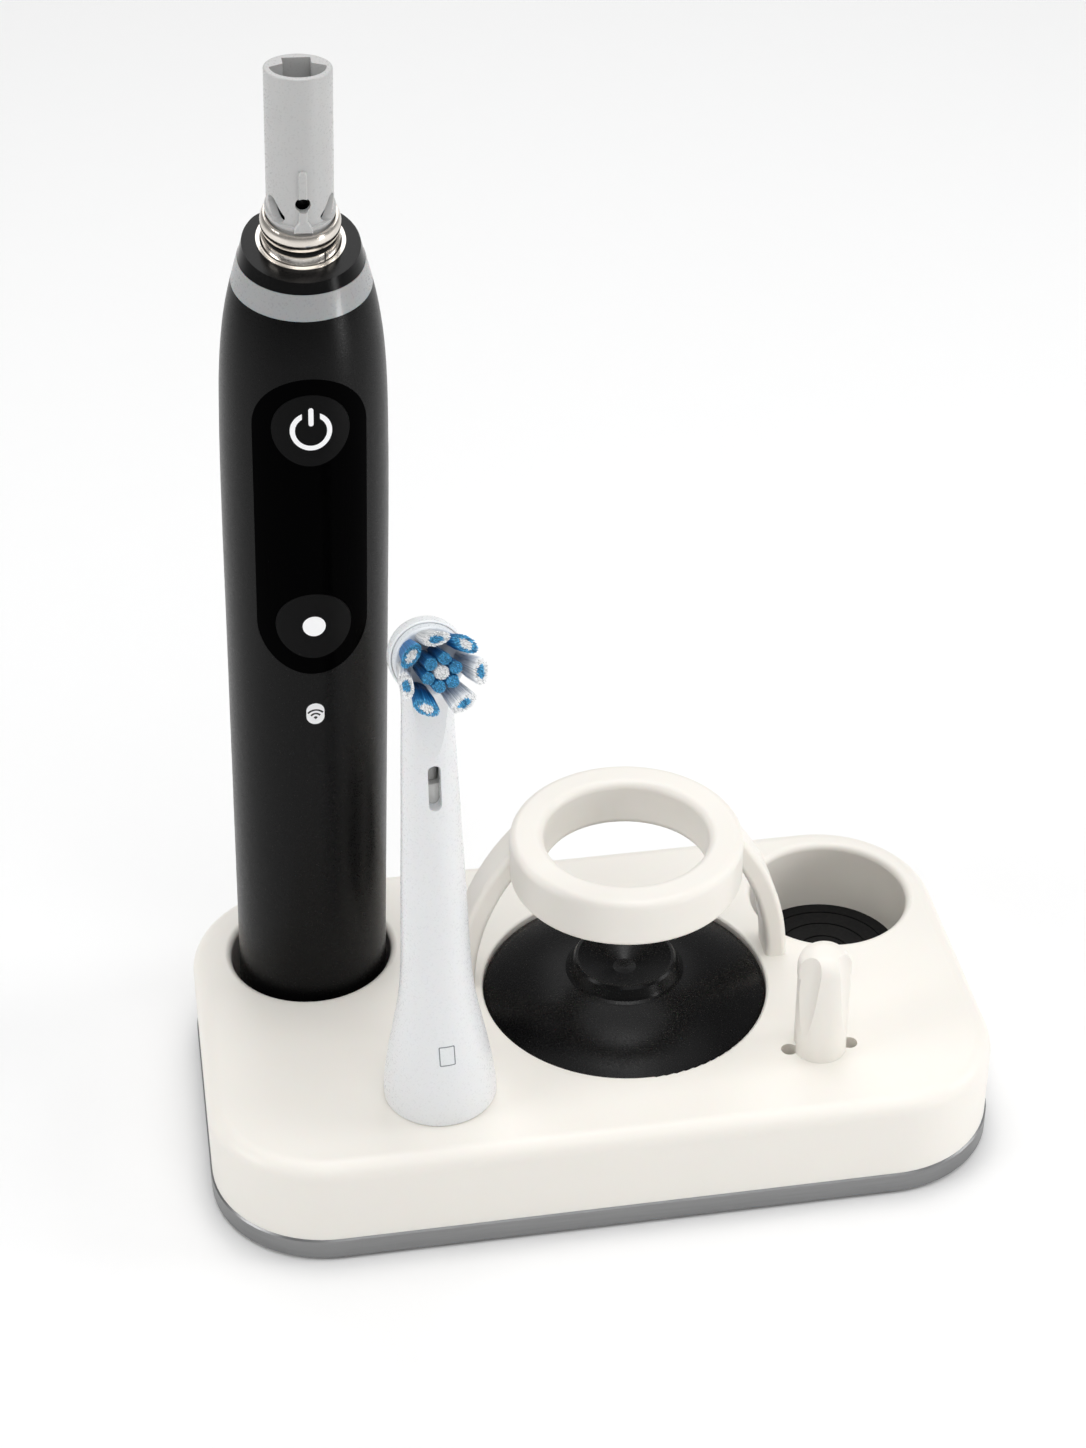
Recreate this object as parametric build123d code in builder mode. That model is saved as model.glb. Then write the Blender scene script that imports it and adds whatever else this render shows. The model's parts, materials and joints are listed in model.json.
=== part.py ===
"""Electric toothbrush handle, spare brush head and charging stand, each piece as its own solid.

Millimetres. +Z is up, +X runs along the stand's long side and -Y is the front.
The origin is on the table, under the middle of the stand.
"""
from build123d import *
import os
from math import cos, radians, sin

os.makedirs("parts", exist_ok=True)

# --- Stand ---------------------------------------------------------------------------------
stand_length = 147.0
stand_depth = 84.2
stand_height = 21.8
corner_radius = 22.0
top_edge_radius = 3.2
foot_proud = 0.5
foot_radius = 5.5
foot_height = 1.5
plate_thickness = 4.5
plate_reveal = 0.3          # the metal plate stands this far outside the moulded body
wall = 2.4
deck = 2.6
plate_top = foot_proud + plate_thickness

well_x = {"left": -50.3, "right": 52.4}
well_y = 20.5
well_radius = 15.4
well_rim_radius = 1.3
pad_thickness = 1.5
pad_seat = 0.4              # the pads sit in a wider step at the foot of each well

peg_places = {"left": (-30.8, -23.6), "right": (40.0, -23.6)}
peg_radius = 4.9
peg_height = 23.0
peg_spigot_radius = 3.4
peg_spigot_length = 9.0
drain_offset = 5.7
drain_radius = 1.5

screw_places = ((-64.5, -12.0), (64.5, -12.0), (-26.5, 35.0), (29.0, 35.0))
foot_places = ((-59.0, -28.5), (59.0, -28.5), (-59.0, 28.5), (59.0, 28.5))

# --- Charging disc and the ring above it ---------------------------------------------------
charger_x, charger_y = 7.7, 0.4
pocket_radius = 27.0
disc_radius = 26.75
disc_wall = 1.8
flange_radius = 28.4
flange_thickness = 2.0
hub_foot_radius = 10.3
hub_top_radius = 9.7
hub_foot_height = 25.6
hub_top_height = 28.4
gland_height = 9.9
gland_radius = 2.4
cord_channel_width = 5.6
cord_channel_top = 12.8

ring_outer_radius = 21.5
ring_bore_radius = 15.2
ring_low, ring_high = 47.8, 57.6
ring_edge_radius = 1.5
arch_front_y = charger_y + 2.7
arch_width = 7.5
arch_half_span = 32.3
strap_thickness = 4.1
leg_edge_radius = 1.1
arch_radius = 46.4
leg_foot_angle, leg_top_angle = 3.0, 45.0    # the legs' arc, in degrees below and above the deck
tenon_length = 7.0

# --- Handle --------------------------------------------------------------------------------
handle_lean = 2.18          # degrees; the handle leans to +X in its loose well
handle_x = -50.5
cap_foot_radius = 13.0
handle_z = plate_top + pad_thickness + 0.05 + cap_foot_radius * sin(radians(handle_lean))
shell_wall = 1.6
cap_height = 1.6
handle_outline = ((14.1, 1.7), (14.22, 40.0), (14.45, 100.0), (14.38, 132.0),
                  (13.72, 145.9), (12.62, 153.5), (10.7, 161.3), (9.5, 166.0))
light_ring_slant = 9.5
light_ring_low, light_ring_high = 157.3, 161.3
collar_slant = 15.0
collar_top = 164.2
collar_bore = 7.45
neck_slant = 16.0
neck_height = 164.4
sleeve_radius = 5.55
sleeve_top = 194.0

panel_width = 19.2
panel_length = 57.6
panel_centre = 116.8
lens_thickness = 1.2
button_height = {"power": 136.3, "mode": 98.0}
button_radius = 6.55
button_clearance = 0.08
button_proud = 0.15
icon_depth = 0.3
badge_height = 79.5

board_front_y = -9.6
board_thickness = 1.0
rod_radius = 1.5
rod_clearance = 0.06
stator_radius = 8.1

# --- Brush head ----------------------------------------------------------------------------
head_turn = 4.0             # degrees about its own axis
head_outline = ((10.25, 1.4), (8.95, 11.3), (6.95, 22.5), (5.95, 38.5), (5.1, 63.5), (4.35, 84.0))
peg_socket_radius = 5.6
peg_socket_depth = 25.0
stem_bore = 2.7
disc_height = 95.2
disc_tilt = 14.0
disc_cup_radius = 6.45
carrier_radius = 6.0
crank_radius = 3.0
axle_radius = 0.7
axle_clearance = 0.05
window_height = 71.2
tuft_length = 8.0

# --- Frames --------------------------------------------------------------------------------
stand = Plane.XY
charger = Plane(origin=(charger_x, charger_y, 0))
lean = radians(handle_lean)
handle = Plane(origin=(handle_x, well_y, handle_z), x_dir=(cos(lean), 0, -sin(lean)),
               z_dir=(sin(lean), 0, cos(lean)))
turn = radians(head_turn)
brush_head = Plane(origin=(*peg_places["left"], stand_height + 0.02),
                   x_dir=(cos(turn), sin(turn), 0), z_dir=(0, 0, 1))


def front_plane(frame):
    """A plane that looks to the frame's front: its x is the frame's x and its y the frame's z."""
    return Plane(origin=frame.origin, x_dir=frame.x_dir, z_dir=-frame.y_dir)


disc_centre = front_plane(brush_head).from_local_coords((0, disc_height, 0))
disc = Plane(origin=disc_centre, x_dir=brush_head.x_dir,
             z_dir=-brush_head.y_dir).rotated((-disc_tilt, 0, 0))


def save(part, name):
    """Label one finished piece and write it to its own file."""
    part.label = name
    export_step(part, f"parts/{name}.step")


def ring(frame, low, high, outer, inner=0.0, mode=Mode.ADD):
    """A round disc or tube about the frame's axis, between two heights."""
    with BuildSketch(frame.offset(low)) as section:
        Circle(outer)
        if inner:
            Circle(inner, mode=Mode.SUBTRACT)
    extrude(section.sketch, amount=high - low, mode=mode)


def turned(frame, outline, mode=Mode.ADD):
    """Revolve a closed outline of (radius, height) points about the frame's axis."""
    with BuildSketch(front_plane(frame)) as section:
        with BuildLine():
            Polyline(*outline, close=True)
        make_face()
    revolve(section.sketch, axis=Axis(frame.origin, frame.z_dir), mode=mode)


def block(frame, centre, size, mode=Mode.ADD):
    """A box in the frame's own axes, given by its centre and its size."""
    with BuildSketch(frame.offset(centre[2] - size[2] / 2)) as section:
        with Locations((centre[0], centre[1])):
            Rectangle(size[0], size[1])
    extrude(section.sketch, amount=size[2], mode=mode)


# ===========================================================================================
# Stand
# ===========================================================================================
def make_stand_body():
    well_centres = [(x, well_y) for x in well_x.values()]
    leg_centres = [(charger_x + side * (arch_half_span - strap_thickness / 2),
                    arch_front_y + arch_width / 2) for side in (-1, 1)]
    body_length = stand_length - 2 * plate_reveal
    body_depth = stand_depth - 2 * plate_reveal
    body_corner = corner_radius - plate_reveal
    body_height = stand_height - plate_top
    with BuildPart() as stand_body:
        with BuildSketch(stand.offset(plate_top)):
            RectangleRounded(body_length, body_depth, body_corner)
        extrude(amount=body_height)
        fillet(stand_body.faces().sort_by(Axis.Z)[-1].edges(), top_edge_radius)
        # Cored underside: the cups, bosses, ribs and the cord duct stay.
        with BuildSketch(stand.offset(plate_top)):
            RectangleRounded(body_length - 2 * wall, body_depth - 2 * wall, body_corner - wall)
            with Locations(*well_centres):
                Circle(well_radius + wall, mode=Mode.SUBTRACT)
            with Locations((charger_x, charger_y)):
                Circle(flange_radius + wall, mode=Mode.SUBTRACT)
            with Locations(*peg_places.values()):
                RectangleRounded(2 * drain_offset + 6.4, 10.4, 3.0, mode=Mode.SUBTRACT)
            with Locations(*screw_places):
                Circle(3.6, mode=Mode.SUBTRACT)
            with Locations(*leg_centres):
                Rectangle(strap_thickness + 3.2, arch_width + 3.2, mode=Mode.SUBTRACT)
            with Locations((charger_x, stand_depth / 2 - 8.0)):
                Rectangle(cord_channel_width + 3.2, 16.0, mode=Mode.SUBTRACT)
            with Locations((0, -stand_depth / 2 + 7.0)):
                Rectangle(1.8, 14.0, mode=Mode.SUBTRACT)
            with Locations(*[(x, -6.0) for x in (-45.0, 45.0)]):
                Rectangle(1.8, 26.0, mode=Mode.SUBTRACT)
        extrude(amount=body_height - deck, mode=Mode.SUBTRACT)
        # Wells for handles, open down to the rubber pads on the plate.
        with BuildSketch(stand.offset(plate_top)):
            with Locations(*well_centres):
                Circle(well_radius)
        extrude(amount=body_height, mode=Mode.SUBTRACT)
        with BuildSketch(stand.offset(plate_top)):
            with Locations(*well_centres):
                Circle(well_radius + pad_seat)
        extrude(amount=pad_thickness, mode=Mode.SUBTRACT)
        # Pocket for the charging disc, with a wider step below for its flange.
        ring(charger, plate_top, stand_height, pocket_radius, mode=Mode.SUBTRACT)
        ring(charger, plate_top, plate_top + flange_thickness + 0.1, flange_radius + 0.2,
             mode=Mode.SUBTRACT)
        rims = stand_body.faces().sort_by(Axis.Z)[-1].edges().filter_by(GeomType.CIRCLE)
        fillet(rims.filter_by(lambda rim: abs(rim.radius - well_radius) < 0.1), well_rim_radius)
        fillet(rims.filter_by(lambda rim: abs(rim.radius - pocket_radius) < 0.1), 0.5)
        # Sockets for the ring's legs and for the brush pegs, and drain holes beside the pegs.
        for x, y in leg_centres:
            block(stand, (x, y, stand_height - tenon_length / 2 - 0.05),
                  (strap_thickness - 0.9, arch_width - 1.9, tenon_length + 0.1), Mode.SUBTRACT)
        with BuildSketch(stand.offset(stand_height)):
            with Locations(*peg_places.values()):
                Circle(peg_spigot_radius + 0.05)
        extrude(amount=-peg_spigot_length - 0.1, mode=Mode.SUBTRACT)
        with BuildSketch(stand.offset(stand_height)):
            for x, y in peg_places.values():
                with Locations((x - drain_offset, y), (x + drain_offset, y)):
                    Circle(drain_radius)
        extrude(amount=-body_height, mode=Mode.SUBTRACT)
        # Pilot holes for the plate screws.
        with BuildSketch(stand.offset(plate_top)):
            with Locations(*screw_places):
                Circle(1.5)
        extrude(amount=10.0, mode=Mode.SUBTRACT)
        # Duct that leads the cord from the disc's gland out through the back wall.
        block(stand, (charger_x, stand_depth / 2 - 6.0, (plate_top + cord_channel_top) / 2),
              (cord_channel_width, 20.0, cord_channel_top - plate_top), Mode.SUBTRACT)
    save(stand_body.part, "stand_body")


def make_base_plate():
    with BuildPart() as base_plate:
        with BuildSketch(stand.offset(foot_proud)):
            RectangleRounded(stand_length, stand_depth, corner_radius)
        extrude(amount=plate_thickness)
        chamfer(base_plate.faces().sort_by(Axis.Z)[-1].edges(), 0.35)
        chamfer(base_plate.faces().sort_by(Axis.Z)[0].edges(), 0.35)
        with BuildSketch(stand.offset(foot_proud)):
            with Locations(*foot_places):
                Circle(foot_radius)
        extrude(amount=foot_height - foot_proud, mode=Mode.SUBTRACT)
        with BuildSketch(stand.offset(foot_proud)):
            with Locations(*screw_places):
                Circle(1.7)
        extrude(amount=plate_thickness, mode=Mode.SUBTRACT)
        for x, y in screw_places:
            turned(Plane(origin=(x, y, foot_proud)),
                   ((0, 0), (3.3, 0), (3.3, 0.4), (1.7, 2.1), (0, 2.1)), Mode.SUBTRACT)
    save(base_plate.part, "base_plate")


def make_rubber_feet():
    with BuildPart() as rubber_feet:
        for x, y in foot_places:
            turned(Plane(origin=(x, y, 0)),
                   ((0, 0), (foot_radius - 0.5, 0), (foot_radius - 0.1, 0.35),
                    (foot_radius, foot_height), (0, foot_height)))
    save(rubber_feet.part, "rubber_feet")


def make_plate_screws():
    """Four countersunk screws with a cross recess in each head."""
    with BuildPart() as plate_screws:
        for x, y in screw_places:
            screw = Plane(origin=(x, y, foot_proud + 0.3))
            turned(screw, ((0, 0), (3.1, 0), (3.1, 0.15), (1.45, 1.8), (1.45, 13.2),
                           (0.9, 14.0), (0, 14.0)))
            for size in ((3.2, 0.7, 1.8), (0.7, 3.2, 1.8)):
                block(screw, (0, 0, 0), size, Mode.SUBTRACT)
    save(plate_screws.part, "plate_screws")


def make_holder_ring():
    """The ring that holds a handle over the charging disc, on an arch of two curved legs."""
    leg_foot = arch_half_span - strap_thickness / 2
    leg_plane = Plane(origin=(charger_x, arch_front_y + arch_width / 2, stand_height),
                      x_dir=(1, 0, 0), z_dir=(0, -1, 0))
    low = stand_height
    with BuildPart() as holder_ring:
        for side, start in ((-1, 180 + leg_foot_angle), (1, -leg_foot_angle)):
            with BuildLine(leg_plane) as leg_line:
                CenterArc((side * (leg_foot - arch_radius), 0), arch_radius, start,
                          side * (leg_foot_angle + leg_top_angle))
            with BuildSketch(Plane(origin=leg_line.line @ 0, x_dir=(0, 1, 0),
                                   z_dir=leg_line.line % 0)) as leg_section:
                RectangleRounded(arch_width, strap_thickness, leg_edge_radius)
            sweep(leg_section.sketch, path=leg_line.line)
        split(bisect_by=stand.offset(low), keep=Keep.TOP)
        with BuildSketch(front_plane(charger)) as section:
            with Locations(((ring_outer_radius + ring_bore_radius) / 2, (ring_low + ring_high) / 2)):
                RectangleRounded(ring_outer_radius - ring_bore_radius, ring_high - ring_low,
                                 ring_edge_radius)
        revolve(section.sketch, axis=Axis(charger.origin, charger.z_dir))
        for side in (-1, 1):
            block(stand, (charger_x + side * (arch_half_span - strap_thickness / 2),
                          arch_front_y + arch_width / 2, low - tenon_length / 2),
                  (strap_thickness - 1.0, arch_width - 2.0, tenon_length))
    save(holder_ring.part, "holder_ring")


def make_brush_peg(name, place):
    """A peg for one brush head: round back, and a front spine between two tapering flutes."""
    peg = Plane(origin=(*place, stand_height))
    cutter_radius = 3.4
    with BuildPart() as brush_peg:
        ring(peg, 0, peg_height, peg_radius)
        fillet(brush_peg.faces().sort_by(Axis.Z)[-1].edges(), 3.6)
        for side in (-1, 1):
            foot = Vector(place[0] + side * 7.1, place[1] - 5.4, stand_height)
            tip = Vector(place[0] + side * (cutter_radius + 1.5), place[1] - 3.9,
                         stand_height + peg_height)
            with BuildSketch(Plane(origin=foot, z_dir=tip - foot)):
                Circle(cutter_radius)
            extrude(amount=peg_height + 4, mode=Mode.SUBTRACT)
            with BuildSketch(peg):
                with Locations((side * (drain_offset + 0.9), 0.8)):
                    Circle(2.7)
            extrude(amount=peg_height - 5.5, mode=Mode.SUBTRACT)
        ring(peg, -peg_spigot_length, 0, peg_spigot_radius)
    save(brush_peg.part, name)


def make_well_pad(name, x):
    with BuildPart() as well_pad:
        pad = Plane(origin=(x, well_y, plate_top))
        ring(pad, 0, pad_thickness, well_radius + pad_seat - 0.1)
        for groove in (5.0, 9.0, 12.6):
            ring(pad, pad_thickness - 0.3, pad_thickness, groove + 0.4, groove, Mode.SUBTRACT)
    save(well_pad.part, name)


# ===========================================================================================
# Charging disc
# ===========================================================================================
def make_charger_shell():
    """Domed disc with a raised hub whose top is hollowed to a shallow cone."""
    flange_top = plate_top + flange_thickness
    rim_height = stand_height - 1.2
    with BuildPart() as charger_shell:
        with BuildSketch(front_plane(charger)):
            with BuildLine():
                dome = ThreePointArc((disc_radius - 0.45, rim_height + 0.35),
                                     (18.7, rim_height + 3.35), (hub_foot_radius + 0.9, hub_foot_height))
                Polyline((disc_radius, flange_top), (disc_radius, rim_height - 0.1), dome @ 0)
                Polyline(dome @ 1, (hub_foot_radius + 0.25, hub_foot_height + 0.25),
                         (hub_foot_radius, hub_foot_height + 0.8),
                         (hub_top_radius, hub_top_height - 0.45), (hub_top_radius - 0.4, hub_top_height),
                         (hub_top_radius - 0.9, hub_top_height), (2.2, hub_top_height - 2.75),
                         (0, hub_top_height - 3.1), (0, hub_top_height - 4.9),
                         (hub_top_radius - 1.6, hub_top_height - 2.6),
                         (hub_top_radius - 1.6, hub_top_height - 5.0),
                         (disc_radius - disc_wall - 0.6, rim_height - 1.7),
                         (disc_radius - disc_wall, rim_height - 2.3),
                         (disc_radius - disc_wall, flange_top), (disc_radius, flange_top))
            make_face()
        revolve(axis=Axis(charger.origin, charger.z_dir))
        with BuildSketch(front_plane(charger)):
            with Locations((0, gland_height)):
                Circle(gland_radius + 0.02)
        extrude(amount=-disc_radius - 1, mode=Mode.SUBTRACT)
    save(charger_shell.part, "charger_shell")


def make_charger_base_cover():
    flange_top = plate_top + flange_thickness
    spigot = disc_radius - disc_wall - 0.1
    with BuildPart() as charger_base_cover:
        ring(charger, plate_top, flange_top, flange_radius)
        ring(charger, flange_top, flange_top + 2.6, spigot, spigot - 1.4)
        with BuildSketch(charger.offset(flange_top)):
            with PolarLocations(18.0, 3, start_angle=30):
                Circle(2.0)
        extrude(amount=2.0)
        block(charger, (0, spigot, gland_height), (2 * gland_radius + 1.4, 5.0, 6.0), Mode.SUBTRACT)
    save(charger_base_cover.part, "charger_base_cover")


def make_charger_electronics():
    """Board, power parts, coil, ferrite core, holding magnet and the carrier under the hub."""
    board_low = plate_top + flange_thickness + 2.0
    board_high = board_low + 1.2
    core_low = 16.0
    with BuildPart() as charger_circuit_board:
        ring(charger, board_low, board_high, 21.0)
        block(charger, (0, 20.0, board_low), (8.0, 6.0, 4.0), Mode.SUBTRACT)
    save(charger_circuit_board.part, "charger_circuit_board")

    with BuildPart() as charger_board_parts:
        block(charger, (-16.0, 3.0, board_high + 2.2), (5.5, 8.0, 4.4))
        block(charger, (0.0, -16.6, board_high + 1.6), (9.0, 3.4, 3.2))
        ring(Plane(origin=(charger_x + 16.5, charger_y + 2.0, 0)), board_high, board_high + 6.0, 2.6)
        ring(Plane(origin=(charger_x + 15.0, charger_y - 5.5, 0)), board_high, board_high + 4.6, 2.0)
    save(charger_board_parts.part, "charger_board_parts")

    with BuildPart() as coil_carrier:
        ring(charger, board_high, core_low, 12.4, 11.0)
        ring(charger, core_low - 1.2, core_low, 12.4)
    save(coil_carrier.part, "coil_carrier")

    with BuildPart() as charger_ferrite:
        ring(charger, core_low, core_low + 1.5, 12.4)
        ring(charger, core_low + 1.5, core_low + 6.0, 6.4, 4.05)
    save(charger_ferrite.part, "charger_ferrite")

    with BuildPart() as charger_magnet:
        ring(charger, core_low + 1.5, core_low + 5.8, 4.0)
    save(charger_magnet.part, "charger_magnet")

    with BuildPart() as charger_coil:
        ring(charger, core_low + 1.5, core_low + 5.6, 11.6, 6.5)
        fillet(charger_coil.edges().filter_by(GeomType.CIRCLE), 0.6)
    save(charger_coil.part, "charger_coil")


def make_cord_gland():
    """Rubber gland in the disc's back wall; its bore takes the cord."""
    gland = Plane(origin=(charger_x, charger_y, gland_height), x_dir=(1, 0, 0), z_dir=(0, 1, 0))
    outer_face = disc_radius + 0.9
    with BuildPart() as cord_gland:
        ring(gland, disc_radius - disc_wall - 1.2, outer_face, gland_radius)
        ring(gland, disc_radius - disc_wall - 1.2, disc_radius - disc_wall - 0.2, gland_radius + 0.5)
        ring(gland, disc_radius - disc_wall - 1.2, outer_face, 1.6, mode=Mode.SUBTRACT)
    save(cord_gland.part, "cord_gland")


# ===========================================================================================
# Handle
# ===========================================================================================
def handle_section(inset):
    """Half section of the handle's skin, drawn in from its surface by the inset."""
    points = [(radius - inset, height) for radius, height in handle_outline]
    with BuildSketch(front_plane(handle)) as section:
        with BuildLine():
            side = Spline(*points)
            Polyline(side @ 1, (0, points[-1][1]), (0, points[0][1]), side @ 0)
        make_face()
    return section.sketch


def skin_solid(inset, mode=Mode.ADD):
    """The whole handle's skin as a solid of revolution, inset from its surface."""
    revolve(handle_section(inset), axis=Axis(handle.origin, handle.z_dir), mode=mode)


def side_plane(frame):
    """A plane that looks along the frame's x: its x is the frame's y and its y the frame's z."""
    return Plane(origin=frame.origin, x_dir=frame.y_dir, z_dir=frame.x_dir)


def slanted(height, slant):
    """A cut across the handle that is lower at the front."""
    return handle.offset(height).rotated((slant, 0, 0))


def panel_outline(inset):
    with BuildSketch(front_plane(handle)) as outline:
        with Locations((0, panel_centre)):
            SlotOverall(panel_length - 2 * inset, panel_width - 2 * inset, rotation=90)
    return outline.sketch


def round_outline(height, radius):
    with BuildSketch(front_plane(handle)) as outline:
        with Locations((0, height)):
            Circle(radius)
    return outline.sketch


def make_handle_housing():
    with BuildPart() as lens_seat:
        skin_solid(-1.0)
        skin_solid(lens_thickness, Mode.SUBTRACT)
        extrude(panel_outline(0), amount=20, mode=Mode.INTERSECT)
    with BuildPart() as badge_seat:
        skin_solid(-1.0)
        skin_solid(icon_depth, Mode.SUBTRACT)
        extrude(badge_outline(), amount=20, mode=Mode.INTERSECT)
    with BuildPart() as handle_housing:
        skin_solid(0)
        split(bisect_by=slanted(light_ring_low, light_ring_slant), keep=Keep.BOTTOM)
        skin_solid(shell_wall, Mode.SUBTRACT)
        extrude(panel_outline(1.2), amount=20, mode=Mode.SUBTRACT)
        add(lens_seat.part, mode=Mode.SUBTRACT)
        add(badge_seat.part, mode=Mode.SUBTRACT)
    save(handle_housing.part, "handle_housing")


def make_panel_lens():
    with BuildPart() as panel_lens:
        skin_solid(0)
        skin_solid(lens_thickness, Mode.SUBTRACT)
        extrude(panel_outline(0.05), amount=20, mode=Mode.INTERSECT)
        for height in button_height.values():
            extrude(round_outline(height, button_radius + button_clearance), amount=20,
                    mode=Mode.SUBTRACT)
    save(panel_lens.part, "panel_lens")


def badge_outline():
    """A small upright pill below the panel."""
    with BuildSketch(front_plane(handle)) as outline:
        with Locations((0, badge_height)):
            SlotOverall(4.4, 3.2, rotation=90)
    return outline.sketch


def make_wireless_badge():
    with BuildPart() as wireless_badge:
        skin_solid(-0.02)
        skin_solid(icon_depth, Mode.SUBTRACT)
        extrude(badge_outline(), amount=20, mode=Mode.INTERSECT)
    save(wireless_badge.part, "wireless_badge")


def power_icon_outline():
    """An open ring with a short upright bar in its gap."""
    ring_radius = 3.1
    stroke = 0.85
    with BuildSketch(front_plane(handle)) as outline:
        with Locations((0, button_height["power"])):
            Circle(ring_radius + stroke / 2)
            Circle(ring_radius - stroke / 2, mode=Mode.SUBTRACT)
            with Locations((0, ring_radius)):
                Rectangle(3.0, 2.6, mode=Mode.SUBTRACT)
            with Locations((0, ring_radius - 0.5)):
                SlotOverall(3.3, stroke, rotation=90)
    return outline.sketch


def mode_dot_outline():
    return round_outline(button_height["mode"], 2.0)


def make_button(name, height, icon_name, icon_outline):
    """A round push button that follows the handle's curve, its stem and its inlaid icon."""
    with BuildPart() as icon:
        skin_solid(-button_proud - 0.02)
        skin_solid(icon_depth - button_proud, Mode.SUBTRACT)
        extrude(icon_outline, amount=20, mode=Mode.INTERSECT)
    with BuildPart() as button:
        skin_solid(-button_proud)
        skin_solid(lens_thickness + 0.6, Mode.SUBTRACT)
        extrude(round_outline(height, button_radius), amount=20, mode=Mode.INTERSECT)
        with BuildSketch(front_plane(handle).offset(-board_front_y + 1.35)):
            with Locations((0, height)):
                Circle(1.5)
        extrude(amount=2.4)
        add(icon.part, mode=Mode.SUBTRACT)
    save(button.part, name)
    save(icon.part, icon_name)


def make_base_cap():
    """Bottom cap with a hollow that fits over the charging disc's hub."""
    spigot = handle_outline[0][0] - shell_wall - 0.1
    with BuildPart() as base_cap:
        turned(handle, ((cap_foot_radius, 0), (13.65, 0.25), (14.02, 0.9), (14.07, cap_height),
                        (spigot, cap_height), (spigot, 5.2), (spigot - 0.9, 5.2), (spigot - 0.9, 6.4),
                        (spigot, 6.4), (spigot, 8.0), (spigot - 1.4, 8.0), (spigot - 1.4, 4.6),
                        (0, 4.6), (0, 0.6), (8.3, 3.0), (10.7, 3.0), (10.7, 0.5), (11.2, 0)))
    save(base_cap.part, "base_cap")
    with BuildPart() as base_seal:
        ring(handle, 5.25, 6.35, spigot + 0.1, spigot - 0.9)
    save(base_seal.part, "base_seal")
    with BuildPart() as receiver_coil:
        ring(handle, 4.6, 7.6, 10.6, 6.8)
        fillet(receiver_coil.edges().filter_by(GeomType.CIRCLE), 0.5)
    save(receiver_coil.part, "receiver_coil")
    with BuildPart() as receiver_ferrite:
        ring(handle, 4.6, 7.6, 6.6)
        ring(handle, 7.6, 9.2, 10.6)
    save(receiver_ferrite.part, "receiver_ferrite")


def make_inner_chassis():
    """Half-tube frame behind the board, with bulkheads round the cell and the motor."""
    with BuildPart() as inner_chassis:
        ring(handle, 12.0, 140.0, 12.3, 11.1)
        for low, high, bore in ((12.0, 18.0, 5.0), (68.6, 71.6, 3.0), (80.4, 82.4, stator_radius - 1.6),
                                (118.0, 120.0, stator_radius - 1.6)):
            ring(handle, low, high, 12.3, bore)
        block(handle, (0, -7.2, 76.0), (26.0, 12.0, 130.0), Mode.SUBTRACT)
    save(inner_chassis.part, "inner_chassis")


def make_battery_cell():
    cell = Plane(origin=handle.from_local_coords((0, 3.6, 0)), x_dir=handle.x_dir, z_dir=handle.z_dir)
    with BuildPart() as battery_cell:
        ring(cell, 18.4, 66.6, 7.1)
        fillet(battery_cell.edges().filter_by(GeomType.CIRCLE), 0.8)
        ring(cell, 66.6, 67.8, 2.6)
    save(battery_cell.part, "battery_cell")


def make_electronics():
    board_middle_y = board_front_y + board_thickness / 2
    with BuildPart() as main_circuit_board:
        block(handle, (0, board_middle_y, 82.0), (15.0, board_thickness, 116.0))
        for height, width in ((60.0, 6.0), (74.0, 5.0), (50.0, 3.4)):
            block(handle, (0, board_front_y - 0.5, height), (width, 1.0, width))
    save(main_circuit_board.part, "main_circuit_board")

    with BuildPart() as tactile_switches:
        for height in button_height.values():
            block(handle, (0, board_front_y - 0.35, height), (5.0, 0.7, 5.0))
            with BuildSketch(front_plane(handle).offset(-board_front_y + 0.7)):
                with Locations((0, height)):
                    Circle(1.3)
            extrude(amount=0.2)
    save(tactile_switches.part, "tactile_switches")

    display_height = sum(button_height.values()) / 2
    with BuildPart() as display_module:
        block(handle, (0, board_front_y - 0.75, display_height), (13.0, 1.5, 21.0))
    save(display_module.part, "display_module")

    with BuildPart() as led_board:
        ring(handle, 148.6, 149.6, 10.6, 8.6)
        for angle in range(0, 360, 45):
            x, y = 9.6 * cos(radians(angle)), 9.6 * sin(radians(angle))
            block(handle, (x, y, 149.9), (1.4, 1.4, 0.6))
    save(led_board.part, "led_board")


def make_motor():
    """Linear drive: yoke and coils stand still; rod, magnet and coupler move along the axis."""
    bush_bore = rod_radius + rod_clearance
    with BuildPart() as stator_yoke:
        ring(handle, 82.4, 118.0, stator_radius, 6.9)
    save(stator_yoke.part, "stator_yoke")

    with BuildPart() as stator_coils:
        for low in (85.0, 101.2):
            ring(handle, low, low + 14.2, 6.85, 4.9)
    save(stator_coils.part, "stator_coils")

    with BuildPart() as rod_bushes:
        for low in (82.6, 115.6):
            ring(handle, low, low + 2.2, 6.85, bush_bore)
    save(rod_bushes.part, "rod_bushes")

    with BuildPart() as armature_magnet:
        ring(handle, 90.0, 110.0, 4.4, rod_radius)
        for groove in (96.5, 103.0):
            ring(handle, groove, groove + 0.5, 4.4, 4.1, Mode.SUBTRACT)
    save(armature_magnet.part, "armature_magnet")

    with BuildPart() as drive_rod:
        ring(handle, 76.0, 168.0, rod_radius)
        chamfer(drive_rod.edges().filter_by(GeomType.CIRCLE), 0.3)
    save(drive_rod.part, "drive_rod")

    with BuildPart() as rod_coupler:
        turned(handle, ((0, 168.0), (3.2, 168.0), (3.4, 168.4), (3.4, 176.0), (2.3, 177.2),
                        (2.3, 181.0), (1.6, 181.8), (0, 181.2)))
    save(rod_coupler.part, "rod_coupler")


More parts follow.
